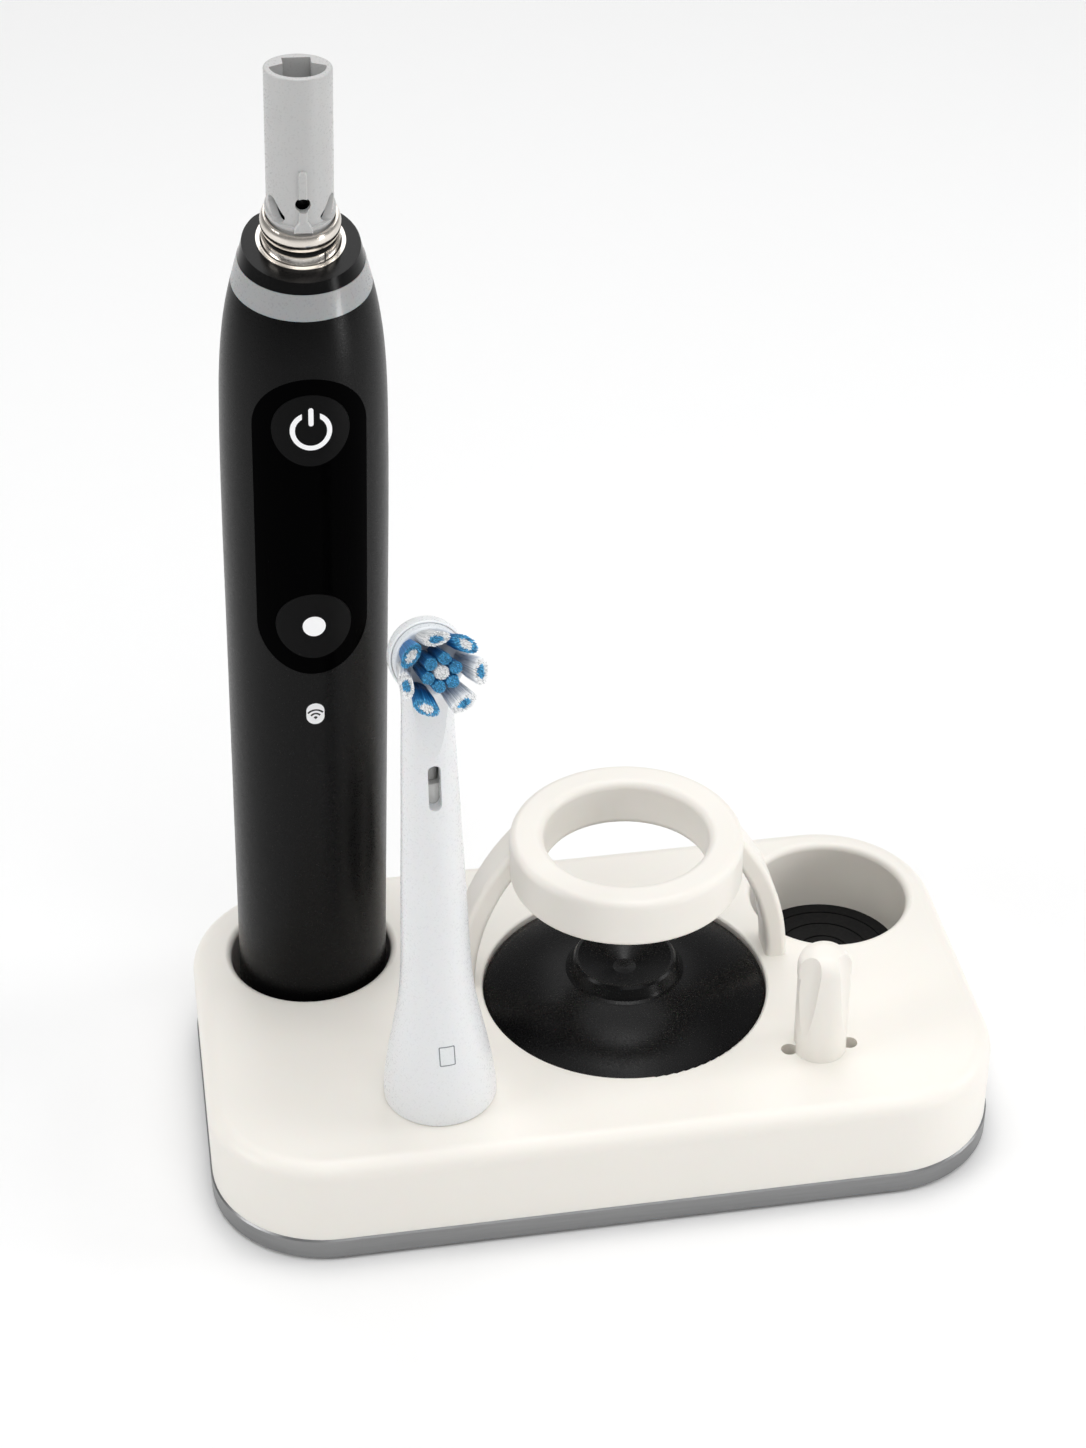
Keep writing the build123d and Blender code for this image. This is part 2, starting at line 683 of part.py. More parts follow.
def make_light_ring():
    with BuildPart() as light_ring:
        skin_solid(0.0)
        split(bisect_by=slanted(light_ring_low + 0.03, light_ring_slant), keep=Keep.TOP)
        split(bisect_by=slanted(light_ring_high, light_ring_slant), keep=Keep.BOTTOM)
        ring(handle, 150.0, 170.0, 8.45, mode=Mode.SUBTRACT)
    save(light_ring.part, "light_ring")


def make_neck_collar():
    """Black collar over the light ring; its spigot runs down inside the ring."""
    cut = slanted(collar_top, collar_slant)
    with BuildPart() as neck_collar:
        skin_solid(0.15)
        split(bisect_by=slanted(light_ring_high + 0.03, light_ring_slant), keep=Keep.TOP)
        split(bisect_by=cut, keep=Keep.BOTTOM)
        fillet(neck_collar.faces().sort_by(Axis(handle.origin, handle.z_dir))[-1].edges(), 0.35)
        ring(handle, 151.0, light_ring_high, 8.4)
        ring(handle, 150.0, 170.0, collar_bore, mode=Mode.SUBTRACT)
    save(neck_collar.part, "neck_collar")


def oblique_band(inner, outer, middle, height, bulge):
    """A bulged band round the handle's axis that lies on the neck's slant."""
    half = height / 2
    with BuildSketch(slanted(middle, neck_slant)) as oval:
        Ellipse(outer, outer / cos(radians(neck_slant)))
    path = oval.sketch.wires()[0]
    section_plane = Plane(origin=path @ 0, x_dir=(path @ 0) - handle.from_local_coords((0, 0, middle)),
                          z_dir=path % 0)
    with BuildSketch(section_plane) as section:
        with BuildLine():
            edge = ThreePointArc((0, -half), (bulge, 0), (0, half))
            Polyline(edge @ 1, (inner - outer, half), (inner - outer, -half), edge @ 0)
        make_face()
    sweep(section.sketch, path=path)


def make_neck_rings():
    """Silver cup, split ring, seal and bulged retaining ring round the foot of the sleeve."""
    cup_rim, split_top, seal_top, band_height = 0.0, 1.2, 1.45, 3.4
    with BuildPart() as collar_cup:
        ring(handle, 156.0, 172.0, collar_bore - 0.03, 6.75)
        split(bisect_by=slanted(neck_height + cup_rim, neck_slant), keep=Keep.BOTTOM)
    save(collar_cup.part, "collar_cup")

    with BuildPart() as split_ring:
        ring(handle, 158.0, 172.0, 6.55, 5.75)
        split(bisect_by=slanted(neck_height + split_top, neck_slant), keep=Keep.BOTTOM)
        block(handle, (3.5, -5.6, 166.0), (0.25, 3.0, 18.0), Mode.SUBTRACT)
    save(split_ring.part, "split_ring")

    with BuildPart() as neck_seal:
        ring(handle, 160.0, 172.0, 6.1, 5.75)
        split(bisect_by=slanted(neck_height + split_top, neck_slant), keep=Keep.TOP)
        split(bisect_by=slanted(neck_height + seal_top, neck_slant), keep=Keep.BOTTOM)
    save(neck_seal.part, "neck_seal")

    with BuildPart() as retaining_ring:
        oblique_band(5.75, 6.2, neck_height + seal_top + band_height / 2 + 0.08, band_height, 0.5)
        ring(handle, 160.0, 176.0, sleeve_radius + 0.05, mode=Mode.SUBTRACT)
    save(retaining_ring.part, "retaining_ring")


def make_connector_sleeve():
    """Hollow grey sleeve that a brush head slides on; it has a keyed opening and a front rib."""
    key_low = 184.0
    bore = 4.5
    rib_low, rib_high, rib_width, rib_foot_width = 167.9, 178.6, 1.4, 3.1
    rib_front = sleeve_radius + 0.55
    with BuildPart() as connector_sleeve:
        ring(handle, 152.0, sleeve_top, sleeve_radius)
        fillet(connector_sleeve.faces().sort_by(Axis(handle.origin, handle.z_dir))[-1].edges(), 0.35)
        # Flange that the silver cup holds down in the collar's bore.
        ring(handle, 152.0, 155.6, collar_bore - 0.05)
        ring(handle, 152.0, key_low, bore, mode=Mode.SUBTRACT)
        with BuildSketch(handle.offset(key_low - 8.0)):
            with BuildLine():
                front = ThreePointArc((-4.55, 0.1), (0, -4.6), (4.55, 0.1))
                Polyline(front @ 1, (2.3, 1.3), (2.3, 3.7), (-2.3, 3.7), (-2.3, 1.3), front @ 0)
            make_face()
        extrude(amount=sleeve_top - key_low + 9.0, mode=Mode.SUBTRACT)
        # Skirt at the foot, cut on the neck's slant.
        with BuildSketch(slanted(neck_height + 5.4, neck_slant)):
            Ellipse(sleeve_radius + 0.3, (sleeve_radius + 0.3) / cos(radians(neck_slant)))
            Circle(sleeve_radius - 0.8, mode=Mode.SUBTRACT)
        extrude(amount=0.7)
        # Front rib with a rounded top and a flared foot, and the drain hole through it.
        with BuildSketch(front_plane(handle).offset(rib_front)):
            with Locations((0, (rib_low + rib_high) / 2)):
                RectangleRounded(rib_width, rib_high - rib_low, rib_width / 2 - 0.05)
            Polygon((-rib_foot_width / 2, rib_low), (rib_foot_width / 2, rib_low),
                    (rib_foot_width / 2, rib_low + 0.8), (rib_width / 2, rib_low + 2.1),
                    (-rib_width / 2, rib_low + 2.1), (-rib_foot_width / 2, rib_low + 0.8), align=None)
        extrude(amount=-0.9)
        front_face = connector_sleeve.faces().filter_by(GeomType.PLANE).sort_by(
            Axis(handle.origin, -handle.y_dir))[-1]
        chamfer(front_face.edges(), 0.2)
        with BuildSketch(front_plane(handle)):
            with Locations((0, 172.75)):
                Circle(1.25)
        extrude(amount=8, mode=Mode.SUBTRACT)
        # Side slots.
        with BuildSketch(side_plane(handle)):
            with Locations((-3.2, 171.3)):
                SlotOverall(4.4, 1.9, rotation=62)
        extrude(amount=8, both=True, mode=Mode.SUBTRACT)
    save(connector_sleeve.part, "connector_sleeve")


# ===========================================================================================
# Brush head
# ===========================================================================================
def make_head_body():
    """Flared hollow body: a skirt that fits over a peg, a slim stem and a cup for the bristle disc."""
    with BuildPart() as cup:
        ring(disc, -3.6, 2.4, disc_cup_radius)
        fillet(cup.faces().sort_by(Axis(disc.origin, disc.z_dir))[0].edges(), 4.1)
        fillet(cup.faces().sort_by(Axis(disc.origin, disc.z_dir))[-1].edges(), 0.3)
    with BuildPart() as head_body:
        with BuildSketch(front_plane(brush_head)):
            with BuildLine():
                side = Spline(*head_outline)
                Polyline(side @ 1, (4.2, disc_height - 1.0), (0, disc_height - 1.0), (0, 0),
                         (10.0, 0), (10.25, 0.3), side @ 0)
            make_face()
        revolve(axis=Axis(brush_head.origin, brush_head.z_dir))
        # The stem's front falls back to the cup.
        with BuildSketch(side_plane(brush_head)):
            with BuildLine():
                Polyline((-5.2, 74.0), (-2.9, 88.0), (-2.9, 100.0), (-9.0, 100.0), (-9.0, 74.0), close=True)
            make_face()
        extrude(amount=8, both=True, mode=Mode.SUBTRACT)
        add(cup.part)
        # Cup for the bristle disc, stem bore, peg socket, slot window and icon recess.
        ring(disc, 1.4, 8.0, carrier_radius + 0.1, mode=Mode.SUBTRACT)
        ring(disc, -1.9, 1.5, 5.0, mode=Mode.SUBTRACT)
        ring(disc, -3.0, 0, axle_radius, mode=Mode.SUBTRACT)
        ring(brush_head, 0, 78.0, stem_bore, mode=Mode.SUBTRACT)
        ring(brush_head, 77.0, disc_height - 1.5, 1.7, mode=Mode.SUBTRACT)
        block(brush_head, (1.15, 0, disc_height - 4.6), (5.1, 2.3, 5.0), Mode.SUBTRACT)
        turned(brush_head, ((0, 0), (9.2, 0), (8.6, 4.0), (peg_socket_radius + 0.9, 14.0),
                            (peg_socket_radius, peg_socket_depth), (0, peg_socket_depth)), Mode.SUBTRACT)
        with BuildSketch(front_plane(brush_head)):
            with Locations((0, window_height)):
                SlotOverall(9.1, 2.2, rotation=90)
        extrude(amount=10, mode=Mode.SUBTRACT)
        add(size_mark_solid(), mode=Mode.SUBTRACT)
    save(head_body.part, "head_body")
    save(size_mark_solid(), "size_mark")


def size_mark_solid():
    """Thin square outline, inlaid low on the skirt's front."""
    with BuildPart() as size_mark:
        with BuildSketch(front_plane(brush_head)):
            with BuildLine():
                side = Spline(*head_outline)
                inner = Spline(*[(radius - 0.3, height) for radius, height in head_outline])
                Line(side @ 0, inner @ 0)
                Line(side @ 1, inner @ 1)
            make_face()
        revolve(axis=Axis(brush_head.origin, brush_head.z_dir))
        with BuildSketch(front_plane(brush_head)) as frame_outline:
            with Locations((0, 14.9)):
                RectangleRounded(2.9, 3.9, 0.25)
                RectangleRounded(2.5, 3.5, 0.15, mode=Mode.SUBTRACT)
        extrude(frame_outline.sketch, amount=15, mode=Mode.INTERSECT)
    return size_mark.part


def make_head_insert():
    """Core inside the stem that guides the link and takes the handle's sleeve."""
    with BuildPart() as head_insert:
        ring(brush_head, peg_socket_depth + 0.3, window_height - 0.6, stem_bore - 0.05, 1.4)
    save(head_insert.part, "head_insert")


def make_carrier_axle():
    with BuildPart() as carrier_axle:
        ring(disc, -3.0, 3.2, axle_radius)
    save(carrier_axle.part, "carrier_axle")


def make_drive_link():
    """Rod from the coupling up to a slotted eye round the bristle disc's crank pin."""
    with BuildPart() as drive_link:
        ring(brush_head, 27.0, disc_height - 5.6, 1.2)
        block(brush_head, (1.2, -0.05, disc_height - 5.1), (3.9, 1.7, 1.6))
        eye = Plane(origin=disc.from_local_coords((crank_radius, 0, 0)), x_dir=brush_head.x_dir,
                    z_dir=-brush_head.y_dir)
        with BuildSketch(eye.offset(-0.9)):
            Rectangle(2.6, 2.4)
            with Locations((0, -3.2)):
                Rectangle(1.0, 4.6)
        extrude(amount=1.5)
        with BuildSketch(disc.offset(-3.0)):
            with Locations((crank_radius, 0)):
                Rectangle(1.8, 1.44)
        extrude(amount=6.0, mode=Mode.SUBTRACT)
    save(drive_link.part, "drive_link")


def make_bristle_carrier():
    with BuildPart() as bristle_carrier:
        ring(disc, 1.75, 4.4, carrier_radius)
        fillet(bristle_carrier.faces().sort_by(Axis(disc.origin, disc.z_dir))[-1].edges(), 0.5)
        with BuildSketch(disc.offset(-1.4)):
            with Locations((crank_radius, 0)):
                Circle(0.6)
        extrude(amount=3.3)
        ring(disc, 1.5, 3.3, axle_radius + axle_clearance, mode=Mode.SUBTRACT)
    save(bristle_carrier.part, "bristle_carrier")


def tuft(angle, root, splay, size, length=tuft_length):
    """One bristle tuft: a leaning elliptical column that stands on the bristle disc."""
    direction = radians(angle)
    foot = disc.from_local_coords((root * cos(direction), root * sin(direction), 4.3))
    tip = disc.from_local_coords(((root + splay) * cos(direction), (root + splay) * sin(direction),
                                  4.3 + length))
    across = (disc.x_dir * -sin(direction) + disc.y_dir * cos(direction)).normalized()
    column = Plane(origin=foot, x_dir=across, z_dir=tip - foot)
    with BuildSketch(column) as section:
        Ellipse(size[0] / 2, size[1] / 2)
    extrude(section.sketch, amount=length)


def make_tufts():
    outer_root, outer_splay, outer_size = 4.35, 1.7, (3.2, 2.0)
    inner_root, inner_splay, inner_size = 2.15, 0.2, (1.9, 1.9)
    outer_blue = (49.0, 142.0, 240.0)
    outer_white = (96.0, 190.0, 300.0, 357.0)
    with BuildPart() as tufts_outer_blue:
        for angle in outer_blue:
            tuft(angle, outer_root, outer_splay, outer_size)
    save(tufts_outer_blue.part, "tufts_outer_blue")
    with BuildPart() as tufts_outer_white:
        for angle in outer_white:
            tuft(angle, outer_root, outer_splay, outer_size)
    save(tufts_outer_white.part, "tufts_outer_white")
    with BuildPart() as tufts_inner_blue:
        for place in range(6):
            tuft(60.0 * place + 75.0, inner_root, inner_splay, inner_size, tuft_length - 1.2)
    save(tufts_inner_blue.part, "tufts_inner_blue")
    with BuildPart() as tuft_centre:
        tuft(0.0, 0.0, 0.0, (2.3, 2.3), tuft_length - 1.4)
    save(tuft_centre.part, "tuft_centre")


make_stand_body()
make_base_plate()
make_rubber_feet()
make_plate_screws()
make_holder_ring()
for side, place in peg_places.items():
    make_brush_peg(f"brush_peg_{side}", place)
for side, x in well_x.items():
    make_well_pad(f"well_pad_{side}", x)

make_charger_shell()
make_charger_base_cover()
make_charger_electronics()
make_cord_gland()

make_handle_housing()
make_panel_lens()
make_wireless_badge()
make_button("power_button", button_height["power"], "power_icon", power_icon_outline())
make_button("mode_button", button_height["mode"], "mode_dot", mode_dot_outline())
make_base_cap()
make_inner_chassis()
make_battery_cell()
make_electronics()
make_motor()
make_light_ring()
make_neck_collar()
make_neck_rings()
make_connector_sleeve()

make_head_body()
make_head_insert()
make_carrier_axle()
make_drive_link()
make_bristle_carrier()
make_tufts()
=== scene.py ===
"""Looks of an electric toothbrush, its spare brush head and their charging stand.

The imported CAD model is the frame. Its pieces keep their shapes and get procedural materials.
The bristle tufts are rebuilt as bundles of filaments. Lengths are in metres.
"""
import bpy
import json
import random
from math import cos, pi, radians, sin, sqrt
from mathutils import Matrix, Vector


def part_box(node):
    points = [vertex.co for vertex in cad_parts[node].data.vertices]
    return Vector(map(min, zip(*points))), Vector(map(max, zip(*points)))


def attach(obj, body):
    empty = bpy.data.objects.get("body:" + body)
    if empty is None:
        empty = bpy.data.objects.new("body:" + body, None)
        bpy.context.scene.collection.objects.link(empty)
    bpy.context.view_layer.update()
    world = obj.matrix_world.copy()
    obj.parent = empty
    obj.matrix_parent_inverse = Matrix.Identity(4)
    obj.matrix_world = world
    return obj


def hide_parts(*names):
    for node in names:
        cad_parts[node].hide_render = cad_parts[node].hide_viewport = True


MM = 0.001

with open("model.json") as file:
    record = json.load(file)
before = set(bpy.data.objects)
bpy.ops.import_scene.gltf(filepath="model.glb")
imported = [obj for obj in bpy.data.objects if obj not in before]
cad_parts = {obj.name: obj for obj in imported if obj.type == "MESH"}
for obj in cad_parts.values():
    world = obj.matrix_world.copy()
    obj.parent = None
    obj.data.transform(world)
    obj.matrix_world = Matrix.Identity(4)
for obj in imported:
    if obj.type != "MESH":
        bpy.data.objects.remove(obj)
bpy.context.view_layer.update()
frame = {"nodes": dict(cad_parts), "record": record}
nodes = frame["nodes"]
joints = {joint["name"]: joint for joint in frame["record"]["behaviour"]["joints"]}


# --- Camera, light and floor -----------------------------------------------------------------
CAMERA_PLACE = Vector((-0.07227, -0.41031, 0.37605))
CAMERA_YAW, CAMERA_PITCH, CAMERA_ROLL = 0.156, 0.613, -0.006
CAMERA_LENS = 71.19
CAMERA_SENSOR = 36.0
WORLD_STRENGTH = 0.30
FLOOR_HALF_SIZE = 3.0
FLOOR_WHITE = (0.94, 0.94, 0.94)
OBJECT_MIDDLE = (0.0, 0.0, 0.05)    # most of the lights are aimed here


def make_camera():
    """The camera stands front left of the object and looks down on it."""
    forward = Vector((sin(CAMERA_YAW) * cos(CAMERA_PITCH), cos(CAMERA_YAW) * cos(CAMERA_PITCH),
                      -sin(CAMERA_PITCH)))
    level = Vector((cos(CAMERA_YAW), -sin(CAMERA_YAW), 0))
    upright = level.cross(forward)
    right = level * cos(CAMERA_ROLL) + upright * sin(CAMERA_ROLL)
    up = upright * cos(CAMERA_ROLL) - level * sin(CAMERA_ROLL)
    data = bpy.data.cameras.new("camera")
    data.lens = CAMERA_LENS
    data.sensor_width = CAMERA_SENSOR
    data.clip_start = 0.01
    camera = bpy.data.objects.new("camera", data)
    bpy.context.scene.collection.objects.link(camera)
    camera.matrix_world = Matrix.Translation(CAMERA_PLACE) @ Matrix(
        (right, up, -forward)).transposed().to_4x4()
    bpy.context.scene.camera = camera


def softbox(name, place, target, size, power):
    """A square area light that faces the target."""
    data = bpy.data.lights.new(name, "AREA")
    data.shape = "SQUARE"
    data.size = size
    data.energy = power
    light = bpy.data.objects.new(name, data)
    bpy.context.scene.collection.objects.link(light)
    light.location = place
    light.rotation_euler = (Vector(target) - Vector(place)).to_track_quat("-Z", "Y").to_euler()


def make_studio():
    """White surroundings, seven area lights and a white floor."""
    world = bpy.data.worlds.new("studio")
    world.use_nodes = True
    background = world.node_tree.nodes["Background"]
    background.inputs["Color"].default_value = (1.0, 1.0, 1.0, 1.0)
    background.inputs["Strength"].default_value = WORLD_STRENGTH
    bpy.context.scene.world = world
    bpy.context.scene.view_settings.view_transform = "Standard"
    softbox("top_softbox", (-0.12, 0.3, 1.4), (0.0, 0.12, 0.0), size=1.6, power=7.7)
    softbox("key_light", (0.05, 0.1, 1.05), OBJECT_MIDDLE, size=0.3, power=1.5)
    softbox("left_softbox", (-0.9, -0.2, 0.5), OBJECT_MIDDLE, size=0.4, power=2.4)
    softbox("right_softbox", (0.9, -0.1, 0.5), OBJECT_MIDDLE, size=0.4, power=2.2)
    softbox("front_softbox", (0.15, -0.75, 1.1), OBJECT_MIDDLE, size=0.9, power=3.6)
    softbox("back_softbox", (0.15, 1.0, 0.95), (0.1, 0.6, 0.0), size=0.8, power=1.9)
    softbox("low_right_light", (0.45, -0.36, 0.08), (-0.05, 0.0, 0.14), size=0.11, power=0.42)

    half = FLOOR_HALF_SIZE
    corners = [(-half, -half, 0), (half, -half, 0), (half, half, 0), (-half, half, 0)]
    mesh = bpy.data.meshes.new("floor")
    mesh.from_pydata(corners, [], [(0, 1, 2, 3)])
    floor = bpy.data.objects.new("floor", mesh)
    bpy.context.scene.collection.objects.link(floor)
    floor.data.materials.append(surface("floor_white", FLOOR_WHITE, 0.9, mottle=0.004,
                                        grain_depth=0.0))


# --- Materials -------------------------------------------------------------------------------
class NodeWriter:
    """Short names for adding and linking the nodes of one material."""

    def __init__(self, name):
        self.material = bpy.data.materials.new(name)
        self.material.use_nodes = True
        self.tree = self.material.node_tree
        self.shader = self.tree.nodes["Principled BSDF"]

    def add(self, kind, **settings):
        node = self.tree.nodes.new(kind)
        for key, value in settings.items():
            setattr(node, key, value)
        return node

    def link(self, source, target):
        self.tree.links.new(source, target)

    def position(self, stretch=(1.0, 1.0, 1.0)):
        """The place on the object in metres, stretched."""
        where = self.add("ShaderNodeTexCoord")
        mapping = self.add("ShaderNodeMapping")
        mapping.inputs["Scale"].default_value = stretch
        self.link(where.outputs["Object"], mapping.inputs["Vector"])
        return mapping.outputs["Vector"]

    def noise(self, vector, scale, detail=3.0, roughness=0.55):
        node = self.add("ShaderNodeTexNoise")
        node.inputs["Scale"].default_value = scale
        node.inputs["Detail"].default_value = detail
        node.inputs["Roughness"].default_value = roughness
        self.link(vector, node.inputs["Vector"])
        return node.outputs["Fac"]

    def spread(self, value, low, high, from_low=0.3, from_high=0.7):
        node = self.add("ShaderNodeMapRange")
        node.inputs["From Min"].default_value = from_low
        node.inputs["From Max"].default_value = from_high
        node.inputs["To Min"].default_value = low
        node.inputs["To Max"].default_value = high
        self.link(value, node.inputs["Value"])
        return node.outputs["Result"]

    def blend_colours(self, share, first, second):
        node = self.add("ShaderNodeMix", data_type="RGBA")
        node.inputs["A"].default_value = (*first, 1.0)
        node.inputs["B"].default_value = (*second, 1.0)
        self.link(share, node.inputs["Factor"])
        return node.outputs["Result"]

    def calculate(self, operation, *terms):
        """One sum or comparison. A term is a number or another node's output."""
        node = self.add("ShaderNodeMath", operation=operation)
        for term, target in zip(terms, node.inputs):
            if isinstance(term, float):
                target.default_value = term
            else:
                self.link(term, target)
        return node.outputs["Value"]

    def bump(self, height, depth):
        node = self.add("ShaderNodeBump")
        node.inputs["Distance"].default_value = depth
        self.link(height, node.inputs["Height"])
        self.link(node.outputs["Normal"], self.shader.inputs["Normal"])

    def set_sockets(self, sockets):
        """Set the shader's other inputs, which come as keywords with underscores."""
        for key, value in sockets.items():
            socket = key.replace("_", " ").title().replace("Ior", "IOR")
            self.shader.inputs[socket].default_value = value


def shaded(colour, factor):
    """The colour made darker or lighter."""
    return tuple(min(1.0, channel * factor) for channel in colour)


SMUDGE_SCALE = 130.0        # of the patches that handling leaves on a surface


def surface(name, colour, roughness, mottle=0.03, cloud=70.0, grain=2600.0, grain_depth=0.006 * MM,
            spread=0.05, stretch=(1.0, 1.0, 1.0), smudge=0.0, **sockets):
    """A moulded, cast or plated surface: clouded colour, uneven gloss and a fine grain."""
    writer = NodeWriter(name)
    where = writer.position(stretch)
    clouds = writer.noise(where, cloud)
    writer.link(writer.blend_colours(clouds, shaded(colour, 1.0 - mottle), shaded(colour, 1.0 + mottle)),
                writer.shader.inputs["Base Color"])
    specks = writer.noise(where, grain, detail=2.0)
    gloss = writer.spread(specks, roughness - spread, roughness + spread)
    if smudge:
        handling = writer.noise(where, SMUDGE_SCALE, detail=5.0, roughness=0.65)
        touched = writer.spread(handling, 0.0, smudge, 0.5, 0.72)
        gloss = writer.calculate("ADD", gloss, touched)
    writer.link(gloss, writer.shader.inputs["Roughness"])
    if grain_depth:
        writer.bump(specks, grain_depth)
    writer.set_sockets(sockets)
    return writer.material


BANDS_PER_METRE = 3.2       # of a wave texture at scale 1


def wound_wire(name, colour, pitch, **sockets):
    """Enamelled wire: fine turns stacked along the height, with painted shade darkening the grooves
    between turns.
    """
    writer = NodeWriter(name)
    where = writer.position()
    turns = writer.add("ShaderNodeTexWave", bands_direction="Z")
    turns.inputs["Scale"].default_value = 1.0 / (pitch * BANDS_PER_METRE)
    turns.inputs["Distortion"].default_value = 0.6
    writer.link(where, turns.inputs["Vector"])
    # Painted shade: the grooves between turns are darkened to 0.45 of the wire's colour.
    writer.link(writer.blend_colours(turns.outputs["Fac"], shaded(colour, 0.45), colour),
                writer.shader.inputs["Base Color"])
    writer.bump(turns.outputs["Fac"], 0.1 * MM)
    writer.set_sockets(sockets)
    return writer.material


def filament_plastic(name, colour, painted_tip_light, painted_tip_glow):
    """Nylon filament: each one its own shade. The cut end gets a painted paler colour and a painted glow
    (emission), which stand in for light coming through it.
    """
    writer = NodeWriter(name)
    shade = writer.add("ShaderNodeAttribute", attribute_name="shade")
    end = writer.add("ShaderNodeAttribute", attribute_name="end")
    body = writer.blend_colours(shade.outputs["Fac"], shaded(colour, 0.72), shaded(colour, 1.25))
    # The pale tip colour and the glow are painted light coming through the cut ends.
    tip = writer.blend_colours(shade.outputs["Fac"], shaded(painted_tip_light, 0.5), shaded(painted_tip_light, 1.6))
    mix = writer.add("ShaderNodeMix", data_type="RGBA")
    writer.link(end.outputs["Fac"], mix.inputs["Factor"])
    writer.link(body, mix.inputs["A"])
    writer.link(tip, mix.inputs["B"])
    writer.link(mix.outputs["Result"], writer.shader.inputs["Base Color"])
    writer.link(mix.outputs["Result"], writer.shader.inputs["Emission Color"])
    writer.link(writer.spread(end.outputs["Fac"], 0.0, painted_tip_glow, 0.0, 1.0),
                writer.shader.inputs["Emission Strength"])
    streaks = writer.noise(writer.position(), 5200.0)
    writer.link(writer.spread(streaks, 0.28, 0.45), writer.shader.inputs["Roughness"])
    writer.bump(streaks, 0.004 * MM)
    return writer.material


# Rings around the sign's dot: where each starts, in millimetres from its middle, and if it is dark.
SIGN_BANDS = ((0.35, 0.0), (0.75, 1.0), (1.1, 0.0), (1.5, 1.0), (1.85, 0.0))
SIGN_REACH = 3.0            # millimetres that the ramp of bands covers
SIGN_DOT_HEIGHT = 0.3       # share of the badge's height at which the dot's middle stands
SIGN_EDGE_DROP = 0.3 * MM   # the arcs end at two slanted lines that meet this far below it
BADGE_WHITE = (0.9, 0.9, 0.91)
SIGN_BLACK = (0.01, 0.01, 0.01)


def sign_bands(writer, distance):
    """1 on the dot and the full circles of the sign, 0 between them."""
    bands = writer.add("ShaderNodeValToRGB")
    ramp = bands.color_ramp
    ramp.interpolation = "CONSTANT"
    for place, dark in SIGN_BANDS:
        stop = ramp.elements.new(place / SIGN_REACH)
        stop.color = (dark, dark, dark, 1.0)
    ramp.elements[0].color = (1.0, 1.0, 1.0, 1.0)
    ramp.elements[-1].color = (0.0, 0.0, 0.0, 1.0)
    writer.link(writer.spread(distance, 0.0, 1.0, 0.0, SIGN_REACH * MM), bands.inputs["Fac"])
    return bands.outputs["Color"]


def signal_badge(name, size):
    """White badge with a dark generic signal sign: a dot under two arcs. The size is its box."""
    writer = NodeWriter(name)
    where = writer.add("ShaderNodeTexCoord")
    mapping = writer.add("ShaderNodeMapping")
    mapping.inputs["Location"].default_value = (-0.5 * size[0], 0.0, -SIGN_DOT_HEIGHT * size[2])
    mapping.inputs["Scale"].default_value = (size[0], 0.0, size[2])
    writer.link(where.outputs["Generated"], mapping.inputs["Vector"])
    reach = writer.add("ShaderNodeVectorMath", operation="LENGTH")
    writer.link(mapping.outputs["Vector"], reach.inputs[0])
    axes = writer.add("ShaderNodeSeparateXYZ")
    writer.link(mapping.outputs["Vector"], axes.inputs["Vector"])
    slant = writer.calculate("SUBTRACT", writer.calculate("ABSOLUTE", axes.outputs["X"]), SIGN_EDGE_DROP)
    above = writer.calculate("GREATER_THAN", axes.outputs["Z"], slant)
    sign = writer.calculate("MULTIPLY", sign_bands(writer, reach.outputs["Value"]), above)
    writer.link(writer.blend_colours(sign, BADGE_WHITE, SIGN_BLACK), writer.shader.inputs["Base Color"])
    writer.link(writer.spread(writer.noise(writer.position(), 900.0), 0.3, 0.42),
                writer.shader.inputs["Roughness"])
    return writer.material


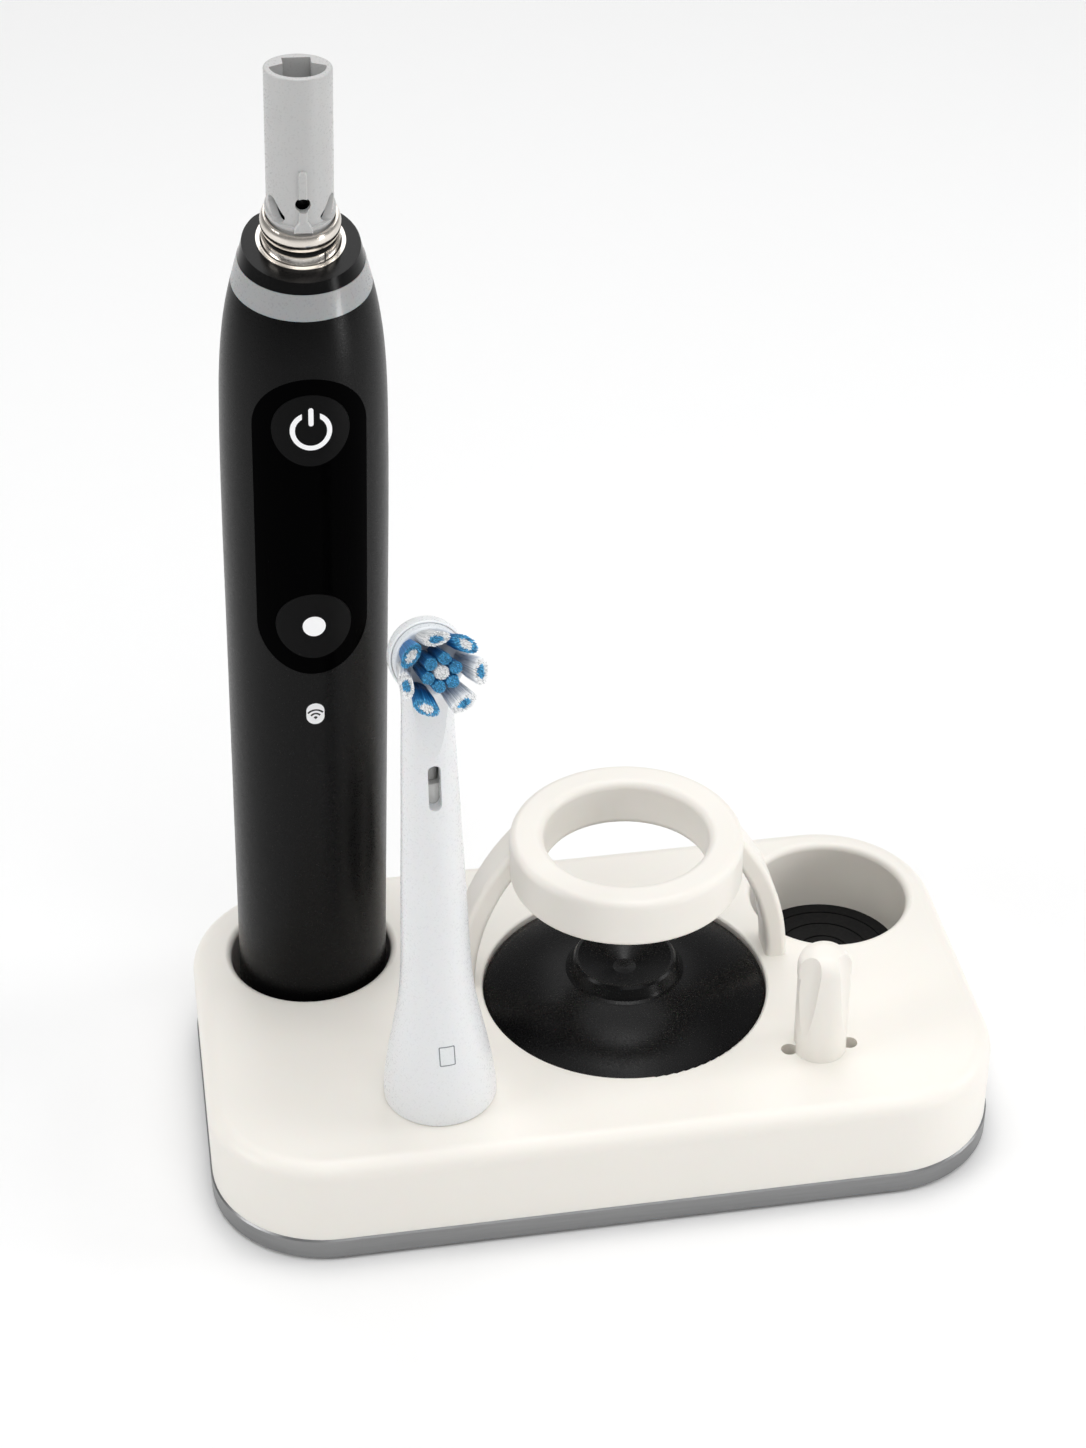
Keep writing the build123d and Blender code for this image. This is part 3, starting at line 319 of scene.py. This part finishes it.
def make_materials():
    """One material for each slot of the record."""
    return {
        "stand_plastic": surface("stand_plastic", (0.9, 0.868, 0.81), 0.36, mottle=0.012, cloud=28.0,
                                 grain_depth=0.004 * MM, smudge=0.12, subsurface_weight=0.06,
                                 subsurface_scale=0.002),
        "plate_metal": surface("plate_metal", (0.27, 0.272, 0.275), 0.36, mottle=0.1, cloud=90.0,
                               grain=420.0, grain_depth=0.012 * MM, stretch=(1.0, 1.0, 22.0),
                               metallic=1.0),
        "black_rubber": surface("black_rubber", (0.007, 0.007, 0.0072), 0.7, mottle=0.2, grain=1400.0,
                                grain_depth=0.03 * MM, specular_ior_level=0.2),
        "screw_steel": surface("screw_steel", (0.55, 0.55, 0.56), 0.28, mottle=0.08, metallic=1.0),
        "charger_plastic": surface("charger_plastic", (0.0025, 0.0025, 0.0027), 0.27, mottle=0.15,
                                   grain_depth=0.003 * MM, smudge=0.03, specular_ior_level=0.16),
        "copper_winding": wound_wire("copper_winding", (0.72, 0.34, 0.16), 0.3 * MM, metallic=1.0),
        "ferrite": surface("ferrite", (0.06, 0.06, 0.065), 0.6, mottle=0.2, grain_depth=0.02 * MM),
        "magnet_nickel": surface("magnet_nickel", (0.66, 0.65, 0.62), 0.16, metallic=1.0),
        "circuit_board": surface("circuit_board", (0.02, 0.16, 0.08), 0.3, mottle=0.15, cloud=900.0),
        "board_parts": surface("board_parts", (0.03, 0.03, 0.03), 0.5, mottle=0.2),
        "inner_nylon": surface("inner_nylon", (0.7, 0.7, 0.68), 0.45, mottle=0.03),
        "handle_black": surface("handle_black", (0.002, 0.002, 0.0021), 0.3, mottle=0.2,
                                grain=3400.0, grain_depth=0.01 * MM, spread=0.06, smudge=0.04,
                                specular_ior_level=0.14),
        "cap_black": surface("cap_black", (0.004, 0.004, 0.0042), 0.35, mottle=0.15,
                             specular_ior_level=0.2),
        "panel_gloss": surface("panel_gloss", (0.0004, 0.0004, 0.0005), 0.1, mottle=0.1, spread=0.02,
                               grain_depth=0.0, smudge=0.06, specular_ior_level=0.01),
        "button_black": surface("button_black", (0.0022, 0.0022, 0.0024), 0.42, mottle=0.15,
                                grain=3400.0, grain_depth=0.008 * MM, specular_ior_level=0.09),
        # The icon's emission is a painted glow that brightens the white print; the icon is no lamp.
        "icon_white": surface("icon_white", (0.9, 0.9, 0.91), 0.35, mottle=0.02, grain_depth=0.0,
                              emission_color=(1.0, 1.0, 1.0, 1.0), emission_strength=0.12),
        "light_guide": surface("light_guide", (0.36, 0.365, 0.37), 0.3, mottle=0.05, cloud=220.0,
                               subsurface_weight=0.35, subsurface_scale=0.002, coat_weight=0.25),
        "collar_gloss": surface("collar_gloss", (0.003, 0.003, 0.0032), 0.16, mottle=0.1,
                                grain_depth=0.0, smudge=0.1, specular_ior_level=0.2),
        "cup_silver": surface("cup_silver", (0.86, 0.82, 0.77), 0.22, mottle=0.05, metallic=1.0),
        "ring_nickel": surface("ring_nickel", (0.74, 0.69, 0.63), 0.13, mottle=0.06, metallic=1.0,
                               smudge=0.12),
        "sleeve_grey": surface("sleeve_grey", (0.53, 0.53, 0.526), 0.3, mottle=0.03, cloud=160.0,
                               subsurface_weight=0.05, subsurface_scale=0.001),
        "cell_wrap": surface("cell_wrap", (0.08, 0.22, 0.45), 0.25),
        "brush_white": surface("brush_white", (0.84, 0.85, 0.86), 0.3, mottle=0.012,
                               grain_depth=0.003 * MM, subsurface_weight=0.08,
                               subsurface_scale=0.0015),
        "mark_grey": surface("mark_grey", (0.2, 0.21, 0.22), 0.45),
        "carrier_white": surface("carrier_white", (0.74, 0.77, 0.8), 0.3, mottle=0.03),
        # The bristles' tip colours and glow values are painted light coming through the filament ends.
        "bristle_blue": filament_plastic("bristle_blue", (0.012, 0.2, 0.52), (0.1, 0.42, 0.78),
                                         painted_tip_glow=0.1),
        "bristle_white": filament_plastic("bristle_white", (0.86, 0.89, 0.91), (0.95, 0.96, 0.97),
                                          painted_tip_glow=0.3),
        "bushing_bronze": surface("bushing_bronze", (0.5, 0.33, 0.15), 0.4, metallic=1.0),
        "rod_steel": surface("rod_steel", (0.6, 0.6, 0.61), 0.2, metallic=1.0, stretch=(1, 1, 9)),
    }


def dress_cad_nodes(materials):
    """Give every CAD piece the material of its slot, and the wireless badge its sign."""
    low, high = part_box("wireless_badge")
    signed = {"wireless_badge": signal_badge("badge_white", Vector(high) - Vector(low))}
    for row in frame["record"]["subparts"]:
        piece = nodes[row["node"]]
        piece.data.materials.clear()
        piece.data.materials.append(signed.get(row["node"], materials[row["material_slot"]]))


# --- Bristle tufts ---------------------------------------------------------------------------
FILAMENT_RADIUS = 0.095 * MM
FILAMENT_SPACING = 0.215 * MM
FILAMENT_SIDES = 6
TUFT_FOOT = 4.3 * MM        # along the turning axis, from the joint out to the feet
TUFT_LENGTH = 7.6 * MM
TUFT_LEAN = 0.75 * MM       # every tip is moved this far to the side
TUFT_LIFT = 0.3 * MM        # and this far up
ROW_SHARE = 0.866           # rows of close-packed filaments stand this share of the spacing apart
TIP_RISE = (-0.14, 0.1)     # how far a tip may end from its tuft's end, in millimetres
TIP_DOME = 0.25 * MM        # a tuft's rim ends this much lower than its middle
TIP_SCATTER = 0.05 * MM
SIDE_BOW = 0.04             # most that a filament bows to either side, in millimetres
BOW_PER_SPLAY = 0.25 / 1.7  # how far a filament bows in, as a share of its tuft's splay
CORE_BLUR = 0.07            # the core's edge is uneven by this share of the ellipse
OUTER_BLUE_ANGLES = (49.0, 142.0, 240.0)            # in degrees around the disc
OUTER_WHITE_ANGLES = (96.0, 190.0, 300.0, 357.0)
INNER_TUFTS = 6
INNER_FIRST_ANGLE = 75.0
# A ring of a filament: share of its length, share of its radius, how much painted tip light (pale colour
# and glow) it gets.
FILAMENT_RINGS = ((0.0, 1.0, 0.0), (0.5, 1.0, 0.0), (0.93, 1.0, 0.25), (0.975, 0.97, 0.7), (1.0, 0.6, 1.0))


def disc_frame():
    """Centre and axes of the bristle disc; the third axis points out of the disc."""
    turn_joint = joints["bristle_turn"]
    out = Vector(turn_joint["axis"]).normalized()
    across = Vector((0, 0, 1)).cross(out).normalized()
    return Vector(turn_joint["pos_m"]), across, out.cross(across), out


class FilamentMesh:
    """Collects the filaments of one piece and their two attributes."""

    def __init__(self):
        self.points, self.faces, self.shades, self.ends = [], [], [], []

    def add_filament(self, foot, tip, bow, shade):
        """A thin round rod that bows a little and has a rounded tip."""
        along = (tip - foot).normalized()
        side = along.orthogonal().normalized()
        other = along.cross(side)
        first = len(self.points)
        for share, width, end in FILAMENT_RINGS:
            middle = foot.lerp(tip, share) + bow * sin(pi * share)
            for step in range(FILAMENT_SIDES):
                angle = 2 * pi * step / FILAMENT_SIDES
                offset = (side * cos(angle) + other * sin(angle)) * FILAMENT_RADIUS * width
                self.points.append(middle + offset)
                self.shades.append(shade)
                self.ends.append(end)
        for ring in range(len(FILAMENT_RINGS) - 1):
            low = first + ring * FILAMENT_SIDES
            for step in range(FILAMENT_SIDES):
                following = (step + 1) % FILAMENT_SIDES
                self.faces.append((low + step, low + following, low + FILAMENT_SIDES + following,
                                   low + FILAMENT_SIDES + step))
        top = first + (len(FILAMENT_RINGS) - 1) * FILAMENT_SIDES
        self.faces.append(tuple(range(top, top + FILAMENT_SIDES)))
        self.faces.append(tuple(range(first + FILAMENT_SIDES - 1, first - 1, -1)))

    def build(self, name, material):
        """Turn the collected filaments into one object."""
        mesh = bpy.data.meshes.new(name)
        mesh.from_pydata(self.points, [], self.faces)
        for key, values in (("shade", self.shades), ("end", self.ends)):
            mesh.attributes.new(key, "FLOAT", "POINT").data.foreach_set("value", values)
        mesh.shade_smooth()
        mesh.materials.append(material)
        piece = bpy.data.objects.new(name, mesh)
        bpy.context.scene.collection.objects.link(piece)
        return piece


def packed_places(half_width, half_depth):
    """Places of filaments packed close inside an ellipse, as shares of its two half sizes."""
    rows = int(half_depth / (FILAMENT_SPACING * ROW_SHARE)) + 1
    columns = int(half_width / FILAMENT_SPACING) + 1
    for row in range(-rows, rows + 1):
        for column in range(-columns, columns + 1):
            x = (column + 0.5 * (row % 2)) * FILAMENT_SPACING / half_width
            y = row * FILAMENT_SPACING * ROW_SHARE / half_depth
            if x * x + y * y <= 1.0:
                yield x, y


def add_tuft(shell, core, angle, root, splay, foot_size, tip_size, length, core_share, draws):
    """One tuft: filaments fan out from the foot's ellipse to the tip's ellipse.

    Filaments inside the core share of the ellipse go into the core's mesh."""
    centre, across, up, out = disc_frame()
    radial = across * cos(radians(angle)) + up * sin(radians(angle))
    tangent = out.cross(radial)
    foot = centre + radial * root + out * TUFT_FOOT
    tip = centre + radial * (root + splay) + out * (TUFT_FOOT + length)
    tip += across * TUFT_LEAN + up * TUFT_LIFT
    for x, y in packed_places(tip_size[0] / 2, tip_size[1] / 2):
        reach = sqrt(x * x + y * y)
        start = foot + tangent * x * foot_size[0] / 2 + radial * y * foot_size[1] / 2
        end = tip + tangent * x * tip_size[0] / 2 + radial * y * tip_size[1] / 2
        end += out * (draws.uniform(*TIP_RISE) * MM - TIP_DOME * reach ** 4)
        end += (tangent * draws.uniform(-1, 1) + radial * draws.uniform(-1, 1)) * TIP_SCATTER
        bow = radial * BOW_PER_SPLAY * splay + tangent * draws.uniform(-SIDE_BOW, SIDE_BOW) * MM
        target = core if reach < core_share + draws.uniform(-CORE_BLUR, CORE_BLUR) else shell
        target.add_filament(start, end, -bow, draws.random())


def make_tufts(materials):
    """Seven two-coloured tufts outside, a ring of blue ones inside and a white one in the middle."""
    draws = random.Random(7)
    outer_blue, outer_white = FilamentMesh(), FilamentMesh()
    inner_blue, centre_white = FilamentMesh(), FilamentMesh()
    outer = dict(root=4.75 * MM, splay=1.45 * MM, foot_size=(3.2 * MM, 1.8 * MM),
                 tip_size=(4.6 * MM, 2.5 * MM), length=TUFT_LENGTH, draws=draws)
    for angle in OUTER_BLUE_ANGLES:
        add_tuft(outer_blue, outer_white, angle, core_share=0.56, **outer)
    for angle in OUTER_WHITE_ANGLES:
        add_tuft(outer_white, outer_blue, angle, core_share=0.5, **outer)
    for place in range(INNER_TUFTS):
        add_tuft(inner_blue, inner_blue, 360.0 / INNER_TUFTS * place + INNER_FIRST_ANGLE,
                 root=2.1 * MM, splay=0.3 * MM, foot_size=(1.9 * MM, 1.8 * MM),
                 tip_size=(2.2 * MM, 2.1 * MM), length=TUFT_LENGTH - 0.7 * MM, core_share=0.0,
                 draws=draws)
    add_tuft(centre_white, centre_white, 0.0, root=0.0, splay=0.0, foot_size=(2.2 * MM, 2.2 * MM),
             tip_size=(2.5 * MM, 2.5 * MM), length=TUFT_LENGTH - 0.9 * MM, core_share=0.0,
             draws=draws)
    for mesh, name, node, slot in (
            (outer_blue, "filaments_outer_blue", "tufts_outer_blue", "bristle_blue"),
            (outer_white, "filaments_outer_white", "tufts_outer_white", "bristle_white"),
            (inner_blue, "filaments_inner_blue", "tufts_inner_blue", "bristle_blue"),
            (centre_white, "filaments_centre", "tuft_centre", "bristle_white")):
        piece = mesh.build(name, materials[slot])
        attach(piece, "bristle_disc")
        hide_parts(node)


make_camera()
make_studio()
finishes = make_materials()
dress_cad_nodes(finishes)
make_tufts(finishes)
